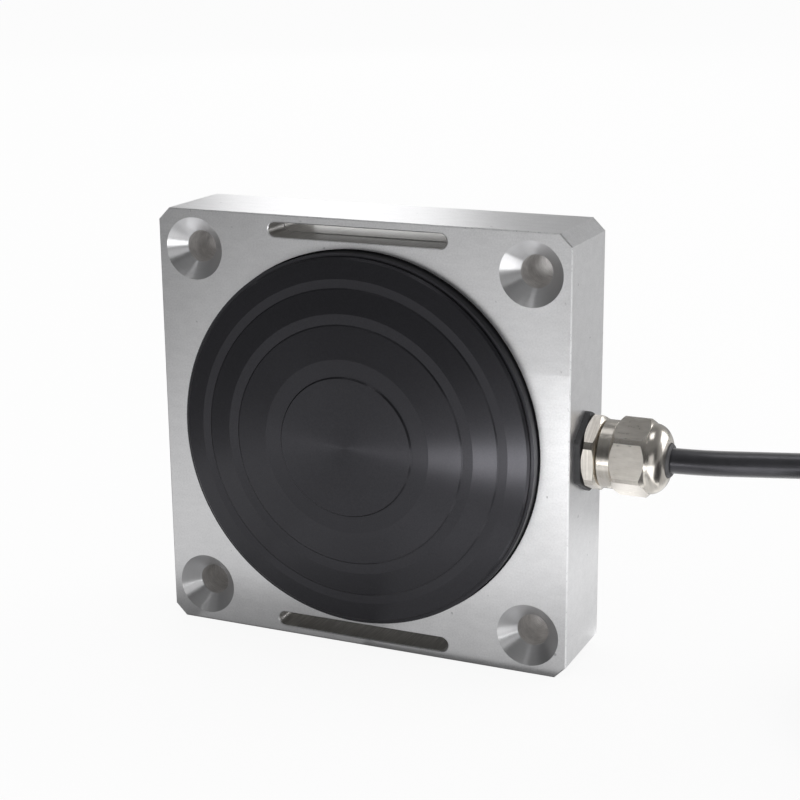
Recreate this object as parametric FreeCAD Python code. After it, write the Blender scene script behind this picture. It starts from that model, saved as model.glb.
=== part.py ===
"""Brake pedal force sensor: a square metal load cell with a stepped round load plate.

Millimetres. The block stands on its lower narrow side as it is stored: X runs along the front face
towards the cable gland, Y runs from the load plate to the back cover, Z is up. The origin is the
centre of the side that it stands on.
"""

import FreeCAD, Part
import math
import os

from FreeCAD import Vector

# Block
BLOCK_SIDE = 90.0
BLOCK_DEPTH = 20.0
CORNER_CHAMFER = 2.5
EDGE_BREAK = 0.25

# Countersunk mounting holes, one in each corner
HOLE_INSET = 8.2
HOLE_R = 3.3
SINK_R = 6.5

# Strap slots along the upper and lower edge
SLOT_LENGTH = 39.0
SLOT_WIDTH = 3.0
SLOT_MARGIN = 1.6
SLOT_FRONT_DEPTH = 7.0
SLOT_REAR_STEP = 0.12
SLOT_EDGE_BREAK = 0.2

# Recess that the load plate moves in
SLOT_WALL = 1.3
PLATE_GAP = 0.35
RECESS_DEPTH = 2.6
STOP_GAP = 0.5

# Load plate: rings from the rim inwards, heights above the front face
PLATE_RISE = 6.6
FLANGE_WIDTH = 0.7
FLANGE_DROP = 1.0
RIM_BREAK = 0.45
OUTER_CONE_WIDTH = 4.2
OUTER_CONE_FALL = 0.6
OUTER_LAND_WIDTH = 1.8
MIDDLE_CONE_WIDTH = 4.7
MIDDLE_CONE_FALL = 0.85
MIDDLE_LAND_WIDTH = 2.1
INNER_CONE_WIDTH = 6.6
INNER_CONE_FALL = 0.75
INNER_LAND_WIDTH = 3.5
STEP_RUN = 0.3
STEP_FALL = 0.25
CENTRE_STEP_FALL = 0.4
RELIEF_DEPTH = 2.5
RELIEF_INNER_R = 12.0
RELIEF_WIDTH = 18.0
RELIEF_SLOPE = 0.6

# Dust ring round the load plate
DUST_RING_R = 0.65
DUST_RING_SQUEEZE = 0.05

# Spring element
ELEMENT_THICKNESS = 4.0
ELEMENT_FIT = 0.1
STOP_LEDGE = 3.1
ELEMENT_RING_WIDTH = 14.0
SEAT_WIDTH = 8.0
HUB_R = 8.0
HUB_REAR_BOSS = 2.0
SPOKES = 4
SPOKE_WIDTH = 8.0
ELEMENT_SCREWS = 6
ELEMENT_SCREW_START = 30.0
M3_R = 1.5
M3_HEAD_R = 2.9
M3_LENGTH = 8.0

# Screw that holds the load plate to the hub
M6_R = 3.0
M6_HEAD_R = 5.0
M6_HEAD_HEIGHT = 6.0
PLATE_THREAD_DEPTH = 5.5
SCREW_CLEARANCE = 0.1
TIP_CLEARANCE = 0.5

# Strain gauges and their wires
GAUGE_LENGTH = 5.0
GAUGE_WIDTH = 3.2
GAUGE_THICKNESS = 0.15
GAUGE_INSET = 1.0
GAUGE_WIRE_R = 0.25
GAUGE_WIRE_INSET = 0.6

# Bridge board
BOARD_LIFT = 6.4
BOARD_THICKNESS = 1.2
BOARD_INNER_R = 12.0
BOARD_CLEARANCE = 0.8
PILLARS = 3
PILLAR_START = 60.0
PILLAR_R = 2.0
M2_R = 1.0
M2_HEAD_R = 1.9
M2_HEAD_HEIGHT = 1.3
M2_LENGTH = 5.0
PILLAR_STUD_LENGTH = 3.5
THREAD_CLEARANCE = 0.05
RESISTORS = 4
RESISTOR_START = 30.0
RESISTOR_SIZE = (2.0, 1.2, 0.6)

# Back cover
COVER_THICKNESS = 2.0
COVER_SEAL_THICKNESS = 0.5
COVER_SEAT_WIDTH = 6.0
COVER_FIT = 0.2
COVER_BREAK = 0.3
COVER_SCREWS = 8
COVER_SCREW_START = 22.5
M25_R = 1.25
M25_HEAD_R = 2.35
M25_LENGTH = 6.0
COVER_SOCKET_FLATS = 1.5
COVER_SOCKET_DEPTH = 0.9

# Cable gland, an M12 metal gland with 14 mm flats
THREAD_R = 6.0
SPIGOT_LENGTH = 7.0
POCKET_EXTRA = 0.5
GASKET_THICKNESS = 1.2
GASKET_FLATS = 14.6
GASKET_CORNERS_R = 8.25
GASKET_TURN = -3.0
GASKET_EDGE = 0.3
HEX_FLATS = 14.0
HEX_CORNERS_R = 7.7
HEX_LENGTH = 2.9
HEX_CHAMFER = 0.6
HEX_REAR_DROP = 0.15
HEX_TURN = -5.0
BODY_BORE_R = 3.1
COLLAR_LENGTH = 6.9
COLLAR_BORE_R = 4.6
COLLAR_BORE_DEPTH = 6.0
NUT_GAP = 0.25
SKIRT_R = 6.8
SKIRT_LENGTH = 2.4
NUT_HEX_LENGTH = 7.05
NUT_CORNERS_R = 7.8
NUT_FRONT_CHAMFER = 0.95
NUT_REAR_CHAMFER = 0.8
NUT_TURN = 7.0
DOME_R = 6.95
DOME_LENGTH = 3.4
DOME_END_R = 2.75
NUT_HOLE_R = 3.5
NUT_CONE_LENGTH = 1.4
NUT_LIP = 1.2
CLAW_WALL = 0.9
CLAW_CLEARANCE = 0.1
CLAW_SLITS = 6
CLAW_SLIT_WIDTH = 0.6
CLAW_SLIT_SHARE_LEFT = 4.0
SEAL_NOSE_CLEARANCE = 0.12
SEAL_LIP = 0.5
SEAL_NOSE_EDGE = 0.28

# Cable: round sheath with four cores and a screen wire
CABLE_R = 2.5
CABLE_FIT = 0.05
PASSAGE_CLEARANCE = 0.3
CORE_R = 0.6
CORE_OFFSET = 0.9
CORE_BEND_R = 1.5
CORE_STAGGER = 3.0
INNER_END_INSET = 3.0
CORE_REACH = 4.5

# Cable route outside the gland, chosen by hand; it starts inside the gland's rubber seal
CABLE_ROUTE = [
    (57.0, 0.0, 45.0),
    (66.2, 0.0, 45.0),
    (80.0, 4.25, 45.0),
    (94.5, 9.7, 44.7),
    (107.0, 16.8, 43.5),
    (118.5, 22.6, 41.6),
    (129.5, 24.2, 38.9),
]
ARC_SHARE = 0.45

# Put-away hank on the floor beside the sensor
HANK_START_X = 119.0
HANK_RUN = 34.0
HANK_INNER_BEND_R = 20.0
HANK_TURNS_WIDE = 2
HANK_LAYERS = 7
HANK_ROUND = 2.0
ENTRY_LENGTH = 12.0
TIE_THICKNESS = 1.0
TIE_WIDTH = 3.6
TIE_X = 147.5
TIE_ROUND = 2.0
TIE_HEAD = (5.2, 5.0, 3.6)
TIE_END_LENGTH = 2.0

# Far end of the cable, inside the hank's loop
TAIL_Y = 12.0
TAIL_END_X = 126.0
SLEEVE_LENGTH = 16.0
SLEEVE_WALL = 0.4
LEAD_LENGTH = 15.0
LEAD_SPREAD = 1.8
LEAD_FAN_SHARE = 0.6
LEAD_DROP_SHARE = 0.35
LEAD_FLOOR_GAP = 0.2
SCREEN_WIRE_R = 0.5

# How far a cutting tool reaches past the face that it cuts, and how near two edges count as one place
OVERCUT = 1.0
SAME_PLACE = 0.001

# Places that follow from the sizes above
AXIS_Z = BLOCK_SIDE / 2
FRONT_Y = -BLOCK_DEPTH / 2
BACK_Y = BLOCK_DEPTH / 2
SIDE_X = BLOCK_SIDE / 2
RECESS_R = BLOCK_SIDE / 2 - SLOT_MARGIN - SLOT_WIDTH - SLOT_WALL
FLANGE_R = RECESS_R - PLATE_GAP
RECESS_Y = FRONT_Y + RECESS_DEPTH
PLATE_REAR_Y = RECESS_Y - STOP_GAP
SEAT_R = RECESS_R - STOP_LEDGE
SEAT_Y = RECESS_Y + ELEMENT_THICKNESS
CAVITY_R = SEAT_R - SEAT_WIDTH
ELEMENT_R = SEAT_R - ELEMENT_FIT
ELEMENT_SCREW_RING_R = (SEAT_R + CAVITY_R) / 2
COVER_SEAT_R = CAVITY_R + COVER_SEAT_WIDTH
COVER_SEAT_Y = BACK_Y - COVER_THICKNESS - COVER_SEAL_THICKNESS
COVER_R = COVER_SEAT_R - COVER_FIT
COVER_SCREW_RING_R = CAVITY_R + COVER_SEAT_WIDTH / 2
HUB_REAR_Y = SEAT_Y + HUB_REAR_BOSS
RING_INNER_R = ELEMENT_R - ELEMENT_RING_WIDTH
PILLAR_RING_R = (RING_INNER_R + CAVITY_R) / 2
BOARD_Y = SEAT_Y + BOARD_LIFT
BOARD_R = CAVITY_R - BOARD_CLEARANCE
RESISTOR_RING_R = (BOARD_INNER_R + PILLAR_RING_R - M2_HEAD_R) / 2
POCKET_X = SIDE_X - SPIGOT_LENGTH - POCKET_EXTRA
HEX_X = SIDE_X + GASKET_THICKNESS
COLLAR_X = HEX_X + HEX_LENGTH
NUT_X = COLLAR_X + NUT_GAP
NUT_HEX_X = NUT_X + SKIRT_LENGTH
DOME_X = NUT_HEX_X + NUT_HEX_LENGTH
NUT_END_X = DOME_X + DOME_LENGTH
CORE_Y = 0.0
INNER_END_X = CAVITY_R - INNER_END_INSET
HANK_OUTER_BEND_R = HANK_INNER_BEND_R + (HANK_TURNS_WIDE - 1) * 2 * CABLE_R
HANK_BASE_Z = TIE_THICKNESS
HANK_TOP_Z = HANK_BASE_Z + HANK_LAYERS * 2 * CABLE_R
TAIL_Z = HANK_BASE_Z + CABLE_R


def face_of(points):
    return Part.Face(Part.makePolygon([*points, points[0]]))


def turned_y(profile, x=0.0, z=AXIS_Z):
    """Solid of revolution about a line along Y, from (radius, y) corners."""
    face = face_of([Vector(x + r, y, z) for r, y in profile])
    return face.revolve(Vector(x, 0, z), Vector(0, 1, 0), 360)


def turned_x(profile, y=CORE_Y, z=AXIS_Z):
    """Solid of revolution about a line along X, from (x, radius) corners."""
    face = face_of([Vector(x, y, z + r) for x, r in profile])
    return face.revolve(Vector(0, y, z), Vector(1, 0, 0), 360)


def rod_y(radius, y_from, y_to, x=0.0, z=AXIS_Z):
    return Part.makeCylinder(radius, y_to - y_from, Vector(x, y_from, z), Vector(0, 1, 0))


def rod_x(radius, x_from, x_to, y=CORE_Y, z=AXIS_Z):
    return Part.makeCylinder(radius, x_to - x_from, Vector(x_from, y, z), Vector(1, 0, 0))


def block(x_from, x_to, y_from, y_to, z_from, z_to):
    return Part.makeBox(x_to - x_from, y_to - y_from, z_to - z_from, Vector(x_from, y_from, z_from))


def around(count, start_deg, radius=0.0):
    """Centres evenly spaced on a circle round the load axis, as (angle, x, z)."""
    spots = []
    for k in range(count):
        angle = start_deg + k * 360.0 / count
        turn = math.radians(angle)
        spots.append((angle, radius * math.cos(turn), AXIS_Z + radius * math.sin(turn)))
    return spots


def turn_about_axis(shape, angle):
    """Rotate about the load axis, positive from +X towards +Z."""
    copy = shape.copy()
    copy.rotate(Vector(0, 0, AXIS_Z), Vector(0, -1, 0), angle)
    return copy


def broken_edges(shape, size, wanted):
    """Chamfer the edges that the test picks."""
    edges = [edge for edge in shape.Edges if wanted(edge)]
    return shape.makeChamfer(size, edges)


def lies_in_plane_y(edge, y):
    box = edge.BoundBox
    return abs(box.YMin - y) < SAME_PLACE and abs(box.YMax - y) < SAME_PLACE


def flat_ended_slot(width, length, y_from, y_to, z):
    """Slot-shaped bar along X with half-round ends, running along Y."""
    half = length / 2 - width / 2
    bar = block(-half, half, y_from, y_to, z - width / 2, z + width / 2)
    ends = [rod_y(width / 2, y_from, y_to, x, z) for x in (-half, half)]
    return bar.multiFuse(ends).removeSplitter()


def countersunk_hole(x, z):
    """Clearance hole with a right-angled sink opening in the front face."""
    sink_depth = SINK_R - HOLE_R
    return turned_y(
        [
            (0, FRONT_Y - OVERCUT),
            (SINK_R + OVERCUT, FRONT_Y - OVERCUT),
            (HOLE_R, FRONT_Y + sink_depth),
            (HOLE_R, BACK_Y + OVERCUT),
            (0, BACK_Y + OVERCUT),
        ],
        x,
        z,
    )


def mounting_spots():
    reach = BLOCK_SIDE / 2 - HOLE_INSET
    return [(sx * reach, AXIS_Z + sz * reach) for sx in (-1, 1) for sz in (-1, 1)]


def slot_heights():
    offset = BLOCK_SIDE / 2 - SLOT_MARGIN - SLOT_WIDTH / 2
    return [AXIS_Z - offset, AXIS_Z + offset]


def make_housing():
    """Square block with cut corners, its recess, cavity, slots and holes."""
    half = BLOCK_SIDE / 2
    cut = half - CORNER_CHAMFER
    outline = [
        (-half, -cut), (-cut, -half), (cut, -half), (half, -cut),
        (half, cut), (cut, half), (-cut, half), (-half, cut),
    ]
    face = face_of([Vector(x, FRONT_Y, AXIS_Z + z) for x, z in outline])
    body = face.extrude(Vector(0, BLOCK_DEPTH, 0))
    body = broken_edges(
        body, EDGE_BREAK, lambda e: lies_in_plane_y(e, FRONT_Y) or lies_in_plane_y(e, BACK_Y)
    )
    tools = [turned_y([
        (0, FRONT_Y - OVERCUT),
        (RECESS_R, FRONT_Y - OVERCUT),
        (RECESS_R, RECESS_Y),
        (SEAT_R, RECESS_Y),
        (SEAT_R, SEAT_Y),
        (CAVITY_R, SEAT_Y),
        (CAVITY_R, COVER_SEAT_Y),
        (COVER_SEAT_R, COVER_SEAT_Y),
        (COVER_SEAT_R, BACK_Y + OVERCUT),
        (0, BACK_Y + OVERCUT),
    ])]
    tools.append(rod_x(THREAD_R + THREAD_CLEARANCE, POCKET_X, SIDE_X + OVERCUT))
    tools.append(rod_x(CABLE_R + PASSAGE_CLEARANCE, CAVITY_R - OVERCUT, POCKET_X + OVERCUT))
    tools += [countersunk_hole(x, z) for x, z in mounting_spots()]
    thread_end_y = RECESS_Y + M3_LENGTH + TIP_CLEARANCE
    for _, x, z in around(ELEMENT_SCREWS, ELEMENT_SCREW_START, ELEMENT_SCREW_RING_R):
        tools.append(rod_y(M3_R + THREAD_CLEARANCE, SEAT_Y - OVERCUT, thread_end_y, x, z))
    for _, x, z in around(COVER_SCREWS, COVER_SCREW_START, COVER_SCREW_RING_R):
        tools.append(rod_y(M25_R + THREAD_CLEARANCE, BACK_Y - M25_LENGTH - TIP_CLEARANCE, BACK_Y, x, z))
    slot_front_y = FRONT_Y + SLOT_FRONT_DEPTH
    for z in slot_heights():
        tools.append(flat_ended_slot(SLOT_WIDTH, SLOT_LENGTH, FRONT_Y - OVERCUT, slot_front_y, z))
        rear_width = SLOT_WIDTH - 2 * SLOT_REAR_STEP
        rear_length = SLOT_LENGTH - 2 * SLOT_REAR_STEP
        tools.append(flat_ended_slot(rear_width, rear_length, slot_front_y - OVERCUT, BACK_Y + OVERCUT, z))
    body = body.cut(tools[0])
    body = body.cut(tools[1:])

    def slot_rim(edge):
        if not lies_in_plane_y(edge, FRONT_Y):
            return False
        box = edge.BoundBox
        half_width = SLOT_WIDTH / 2 + SAME_PLACE
        half_length = SLOT_LENGTH / 2 + SAME_PLACE
        return any(box.ZMin > z - half_width and box.ZMax < z + half_width
                   and box.XMin > -half_length and box.XMax < half_length for z in slot_heights())

    return broken_edges(body, SLOT_EDGE_BREAK, slot_rim)


def plate_rings():
    """Corners of the stepped face, from the rim inwards, as (radius, height)."""
    height = PLATE_RISE - CENTRE_STEP_FALL - INNER_CONE_FALL - MIDDLE_CONE_FALL - OUTER_CONE_FALL
    height -= 2 * STEP_FALL
    radius = FLANGE_R - FLANGE_WIDTH
    corners = [(radius, height)]
    rings = [
        (OUTER_CONE_WIDTH, OUTER_CONE_FALL, OUTER_LAND_WIDTH, STEP_FALL),
        (MIDDLE_CONE_WIDTH, MIDDLE_CONE_FALL, MIDDLE_LAND_WIDTH, STEP_FALL),
        (INNER_CONE_WIDTH, INNER_CONE_FALL, INNER_LAND_WIDTH, CENTRE_STEP_FALL),
    ]
    for cone_width, cone_fall, land_width, step_fall in rings:
        radius -= cone_width
        height += cone_fall
        corners.append((radius, height))
        radius -= land_width
        corners.append((radius, height))
        radius -= STEP_RUN
        height += step_fall
        corners.append((radius, height))
    return corners


def make_load_plate():
    """Turned plate: flat centre, stepped cones and lands, rim, flange and ring groove."""
    rings = plate_rings()
    rim_r, rim_height = rings[0]
    flange_height = rim_height - FLANGE_DROP
    groove_y = (FRONT_Y + PLATE_REAR_Y) / 2
    groove_r = RECESS_R - 2 * DUST_RING_R - DUST_RING_SQUEEZE
    relief_y = PLATE_REAR_Y - RELIEF_DEPTH
    relief_r = RELIEF_INNER_R + RELIEF_WIDTH
    hole_r = M6_R + THREAD_CLEARANCE
    profile = [
        (hole_r, PLATE_REAR_Y),
        (RELIEF_INNER_R, PLATE_REAR_Y),
        (RELIEF_INNER_R + RELIEF_SLOPE, relief_y),
        (relief_r, relief_y),
        (relief_r, PLATE_REAR_Y),
        (FLANGE_R - RIM_BREAK / 2, PLATE_REAR_Y),
        (FLANGE_R, PLATE_REAR_Y - RIM_BREAK / 2),
        (FLANGE_R, groove_y + DUST_RING_R),
        (groove_r, groove_y + DUST_RING_R),
        (groove_r, groove_y - DUST_RING_R),
        (FLANGE_R, groove_y - DUST_RING_R),
        (FLANGE_R, FRONT_Y - flange_height),
        (rim_r, FRONT_Y - flange_height),
        (rim_r, FRONT_Y - rim_height + RIM_BREAK),
        (rim_r - RIM_BREAK, FRONT_Y - rim_height),
        *[(r, FRONT_Y - h) for r, h in rings[1:]],
        (0, FRONT_Y - PLATE_RISE),
        (0, PLATE_REAR_Y - PLATE_THREAD_DEPTH),
        (hole_r, PLATE_REAR_Y - PLATE_THREAD_DEPTH),
    ]
    return turned_y(profile)


def make_dust_ring():
    """Rubber ring in the groove of the plate's side, against the recess wall."""
    groove_y = (FRONT_Y + PLATE_REAR_Y) / 2
    ring_r = DUST_RING_R - DUST_RING_SQUEEZE / 2
    centre_r = RECESS_R - DUST_RING_SQUEEZE / 2 - DUST_RING_R
    return Part.makeTorus(centre_r, ring_r, Vector(0, groove_y, AXIS_Z), Vector(0, 1, 0))


def make_spring_element():
    """Ring, spokes and hub in one piece; the hub carries the load plate."""
    ring = turned_y([
        (RING_INNER_R, RECESS_Y), (ELEMENT_R, RECESS_Y), (ELEMENT_R, SEAT_Y), (RING_INNER_R, SEAT_Y),
    ])
    hub = turned_y([(0, PLATE_REAR_Y), (HUB_R, PLATE_REAR_Y), (HUB_R, HUB_REAR_Y), (0, HUB_REAR_Y)])
    spoke = block(HUB_R / 2, RING_INNER_R + OVERCUT, RECESS_Y, SEAT_Y,
                  AXIS_Z - SPOKE_WIDTH / 2, AXIS_Z + SPOKE_WIDTH / 2)
    spokes = [turn_about_axis(spoke, angle) for angle, _, _ in around(SPOKES, 180.0 / SPOKES)]
    body = ring.multiFuse([hub, *spokes]).removeSplitter()
    holes = [rod_y(M6_R + SCREW_CLEARANCE, PLATE_REAR_Y - OVERCUT, HUB_REAR_Y + OVERCUT)]
    for _, x, z in around(ELEMENT_SCREWS, ELEMENT_SCREW_START, ELEMENT_SCREW_RING_R):
        holes.append(sunk_screw(x, z, RECESS_Y, 1, M3_HEAD_R, M3_R, 2 * M3_LENGTH, SCREW_CLEARANCE))
    for _, x, z in around(PILLARS, PILLAR_START, PILLAR_RING_R):
        holes.append(rod_y(M2_R + THREAD_CLEARANCE, RECESS_Y - OVERCUT, SEAT_Y + OVERCUT, x, z))
    return body.cut(holes)


def sunk_screw(x, z, head_y, way, head_r, shank_r, length, spare=0.0):
    """Countersunk screw with its flat head at head_y; way is +1 when it points to the back."""
    shank = shank_r + spare
    head = head_r + spare
    return turned_y(
        [
            (0, head_y),
            (head, head_y),
            (shank, head_y + way * (head - shank)),
            (shank, head_y + way * length),
            (0, head_y + way * length),
        ],
        x,
        z,
    )


def make_element_screws():
    spots = around(ELEMENT_SCREWS, ELEMENT_SCREW_START, ELEMENT_SCREW_RING_R)
    return Part.makeCompound([
        sunk_screw(x, z, RECESS_Y, 1, M3_HEAD_R, M3_R, M3_LENGTH) for _, x, z in spots
    ])


def make_plate_screw():
    """Socket screw from the hub's rear into the load plate."""
    tip_y = PLATE_REAR_Y - PLATE_THREAD_DEPTH + TIP_CLEARANCE
    head_y = HUB_REAR_Y + M6_HEAD_HEIGHT
    socket_r = M6_HEAD_R / 2
    return turned_y([
        (0, tip_y),
        (M6_R, tip_y),
        (M6_R, HUB_REAR_Y),
        (M6_HEAD_R, HUB_REAR_Y),
        (M6_HEAD_R, head_y),
        (socket_r, head_y),
        (socket_r, head_y - M6_HEAD_HEIGHT / 2),
        (0, head_y - M6_HEAD_HEIGHT / 2),
    ])


def gauge_centres():
    inner = HUB_R + GAUGE_INSET + GAUGE_LENGTH / 2
    outer = RING_INNER_R - GAUGE_INSET - GAUGE_LENGTH / 2
    return [inner, outer]


def make_strain_gauges():
    """Foil gauges on the rear of each spoke, one near the hub and one near the ring."""
    solids = []
    reach = GAUGE_LENGTH / 2
    for centre in gauge_centres():
        gauge = block(centre - reach, centre + reach, SEAT_Y, SEAT_Y + GAUGE_THICKNESS,
                      AXIS_Z - GAUGE_WIDTH / 2, AXIS_Z + GAUGE_WIDTH / 2)
        solids += [turn_about_axis(gauge, angle) for angle, _, _ in around(SPOKES, 180.0 / SPOKES)]
    return Part.makeCompound(solids)


def make_gauge_wires():
    """One wire from each gauge to the bridge board behind it."""
    inner, outer = gauge_centres()
    reach = GAUGE_LENGTH / 2 - GAUGE_WIRE_INSET
    solids = []
    for radius in (inner + reach, outer - reach):
        for _, x, z in around(SPOKES, 180.0 / SPOKES, radius):
            solids.append(rod_y(GAUGE_WIRE_R, SEAT_Y + GAUGE_THICKNESS, BOARD_Y, x, z))
    return Part.makeCompound(solids)


def make_pillars():
    """Tapped pillars, screwed into the ring, that carry the board."""
    thread_end_y = BOARD_Y + BOARD_THICKNESS - M2_LENGTH - TIP_CLEARANCE
    solids = []
    for _, x, z in around(PILLARS, PILLAR_START, PILLAR_RING_R):
        pillar = rod_y(PILLAR_R, SEAT_Y, BOARD_Y, x, z)
        pillar = pillar.fuse(rod_y(M2_R, SEAT_Y - PILLAR_STUD_LENGTH, SEAT_Y, x, z)).removeSplitter()
        solids.append(pillar.cut(rod_y(M2_R + THREAD_CLEARANCE, thread_end_y, BOARD_Y + OVERCUT, x, z)))
    return Part.makeCompound(solids)


def make_bridge_board():
    rear_y = BOARD_Y + BOARD_THICKNESS
    board = turned_y([
        (BOARD_INNER_R, BOARD_Y), (BOARD_R, BOARD_Y), (BOARD_R, rear_y), (BOARD_INNER_R, rear_y),
    ])
    holes = [rod_y(M2_R + SCREW_CLEARANCE, BOARD_Y - OVERCUT, rear_y + OVERCUT, x, z)
             for _, x, z in around(PILLARS, PILLAR_START, PILLAR_RING_R)]
    return board.cut(holes)


def make_board_screws():
    head_y = BOARD_Y + BOARD_THICKNESS
    solids = []
    for _, x, z in around(PILLARS, PILLAR_START, PILLAR_RING_R):
        solids.append(turned_y([
            (0, head_y - M2_LENGTH), (M2_R, head_y - M2_LENGTH), (M2_R, head_y),
            (M2_HEAD_R, head_y), (M2_HEAD_R, head_y + M2_HEAD_HEIGHT), (0, head_y + M2_HEAD_HEIGHT),
        ], x, z))
    return Part.makeCompound(solids)


def make_resistors():
    """Chip resistors that trim the bridge."""
    length, width, height = RESISTOR_SIZE
    base_y = BOARD_Y + BOARD_THICKNESS
    chip = block(RESISTOR_RING_R - length / 2, RESISTOR_RING_R + length / 2, base_y, base_y + height,
                 AXIS_Z - width / 2, AXIS_Z + width / 2)
    return Part.makeCompound([
        turn_about_axis(chip, angle) for angle, _, _ in around(RESISTORS, RESISTOR_START)
    ])


def make_cover_seal():
    seal = turned_y([
        (CAVITY_R, COVER_SEAT_Y), (COVER_R, COVER_SEAT_Y),
        (COVER_R, COVER_SEAT_Y + COVER_SEAL_THICKNESS), (CAVITY_R, COVER_SEAT_Y + COVER_SEAL_THICKNESS),
    ])
    holes = [rod_y(M25_R + SCREW_CLEARANCE, COVER_SEAT_Y - OVERCUT, BACK_Y, x, z)
             for _, x, z in around(COVER_SCREWS, COVER_SCREW_START, COVER_SCREW_RING_R)]
    return seal.cut(holes)


def make_back_cover():
    front_y = COVER_SEAT_Y + COVER_SEAL_THICKNESS
    cover = turned_y([
        (0, front_y), (COVER_R, front_y), (COVER_R, BACK_Y - COVER_BREAK),
        (COVER_R - COVER_BREAK, BACK_Y), (0, BACK_Y),
    ])
    holes = [sunk_screw(x, z, BACK_Y, -1, M25_HEAD_R, M25_R, 2 * M25_LENGTH, SCREW_CLEARANCE)
             for _, x, z in around(COVER_SCREWS, COVER_SCREW_START, COVER_SCREW_RING_R)]
    return cover.cut(holes)


def make_cover_screws():
    """Countersunk screws with a hexagon socket, flush with the back cover."""
    solids = []
    for _, x, z in around(COVER_SCREWS, COVER_SCREW_START, COVER_SCREW_RING_R):
        screw = sunk_screw(x, z, BACK_Y, -1, M25_HEAD_R, M25_R, M25_LENGTH)
        socket = hexagon_y(COVER_SOCKET_FLATS, BACK_Y - COVER_SOCKET_DEPTH, BACK_Y + OVERCUT, x, z)
        solids.append(screw.cut(socket))
    return Part.makeCompound(solids)


def hexagon_y(flats, y_from, y_to, x, z):
    corner_r = flats / math.sqrt(3)
    points = []
    for k in range(6):
        turn = math.radians(60 * k)
        points.append(Vector(x + corner_r * math.cos(turn), y_from, z + corner_r * math.sin(turn)))
    return face_of(points).extrude(Vector(0, y_to - y_from, 0))


def hexagon_x(flats, x_from, x_to, turn_deg):
    """Hexagonal bar along the gland's axis; one corner leans turn_deg from +Z towards +Y."""
    corner_r = flats / math.sqrt(3)
    points = []
    for k in range(6):
        turn = math.radians(turn_deg + 60 * k)
        points.append(Vector(x_from, corner_r * math.sin(turn), AXIS_Z + corner_r * math.cos(turn)))
    return face_of(points).extrude(Vector(x_to - x_from, 0, 0))


def make_gland_gasket():
    """Flat rubber washer in the shape of a hexagon with cut corners."""
    hexagon = hexagon_x(GASKET_FLATS, SIDE_X, HEX_X, GASKET_TURN)
    limit = turned_x([
        (SIDE_X, 0), (SIDE_X, GASKET_CORNERS_R), (HEX_X - GASKET_EDGE, GASKET_CORNERS_R),
        (HEX_X, GASKET_CORNERS_R - GASKET_EDGE), (HEX_X, 0),
    ])
    return hexagon.common(limit).cut(rod_x(THREAD_R + THREAD_CLEARANCE, SIDE_X - OVERCUT, HEX_X + OVERCUT))


def make_gland_body():
    """Spigot in the block, thin hexagon and the threaded collar under the dome nut."""
    hexagon = hexagon_x(HEX_FLATS, HEX_X, COLLAR_X, HEX_TURN)
    flat_r = HEX_FLATS / 2
    limit = turned_x([
        (HEX_X, 0), (HEX_X, flat_r - HEX_REAR_DROP), (HEX_X + HEX_CHAMFER, HEX_CORNERS_R),
        (COLLAR_X - HEX_CHAMFER, HEX_CORNERS_R), (COLLAR_X, flat_r - HEX_CHAMFER), (COLLAR_X, 0),
    ])
    spigot = rod_x(THREAD_R, SIDE_X - SPIGOT_LENGTH, HEX_X)
    collar = rod_x(THREAD_R, COLLAR_X, COLLAR_X + COLLAR_LENGTH)
    body = hexagon.common(limit).multiFuse([spigot, collar]).removeSplitter()
    collar_end = COLLAR_X + COLLAR_LENGTH
    bores = [
        rod_x(BODY_BORE_R, SIDE_X - SPIGOT_LENGTH - OVERCUT, collar_end),
        rod_x(COLLAR_BORE_R, collar_end - COLLAR_BORE_DEPTH, collar_end + OVERCUT),
    ]
    return body.cut(bores)


def claw_span():
    start = COLLAR_X + COLLAR_LENGTH - COLLAR_BORE_DEPTH
    end = NUT_END_X - NUT_LIP - NUT_CONE_LENGTH
    return start, end


def make_gland_claw():
    """Plastic sleeve whose slit fingers the dome nut closes round the seal."""
    start, end = claw_span()
    outer_r = COLLAR_BORE_R - CLAW_CLEARANCE
    inner_r = outer_r - CLAW_WALL
    claw = turned_x([(start, inner_r), (start, outer_r), (end, outer_r), (end, inner_r)])
    slits = []
    for k in range(CLAW_SLITS // 2):
        slit = block(start + CLAW_SLIT_SHARE_LEFT, end + OVERCUT, -2 * outer_r, 2 * outer_r,
                     AXIS_Z - CLAW_SLIT_WIDTH / 2, AXIS_Z + CLAW_SLIT_WIDTH / 2)
        slit.rotate(Vector(0, CORE_Y, AXIS_Z), Vector(1, 0, 0), k * 360.0 / CLAW_SLITS)
        slits.append(slit)
    return claw.cut(slits)


def make_gland_seal():
    """Rubber sleeve round the cable; its nose stands a little out of the dome nut's mouth."""
    start, end = claw_span()
    body_r = COLLAR_BORE_R - 2 * CLAW_CLEARANCE - CLAW_WALL
    nose_r = min(NUT_HOLE_R, body_r) - SEAL_NOSE_CLEARANCE
    bore_r = CABLE_R + CABLE_FIT
    nose_end = NUT_END_X + SEAL_LIP
    return turned_x([
        (start, bore_r), (start, body_r), (end, body_r), (end, nose_r),
        (nose_end - SEAL_NOSE_EDGE, nose_r), (nose_end, nose_r - SEAL_NOSE_EDGE), (nose_end, bore_r),
    ])


def quarter_oval_x(x_from, x_to, r_from, r_to):
    """Edge in the XZ plane that leaves x_from along X and meets x_to along Z."""
    half = math.sqrt(0.5)
    quarter = Part.Arc(Vector(0, 0, 1), Vector(half, 0, half), Vector(1, 0, 0)).toShape()
    stretch = FreeCAD.Matrix()
    stretch.scale(x_to - x_from, 1, r_from - r_to)
    stretch.move(Vector(x_from, CORE_Y, AXIS_Z + r_to))
    return quarter.transformGeometry(stretch)


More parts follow.
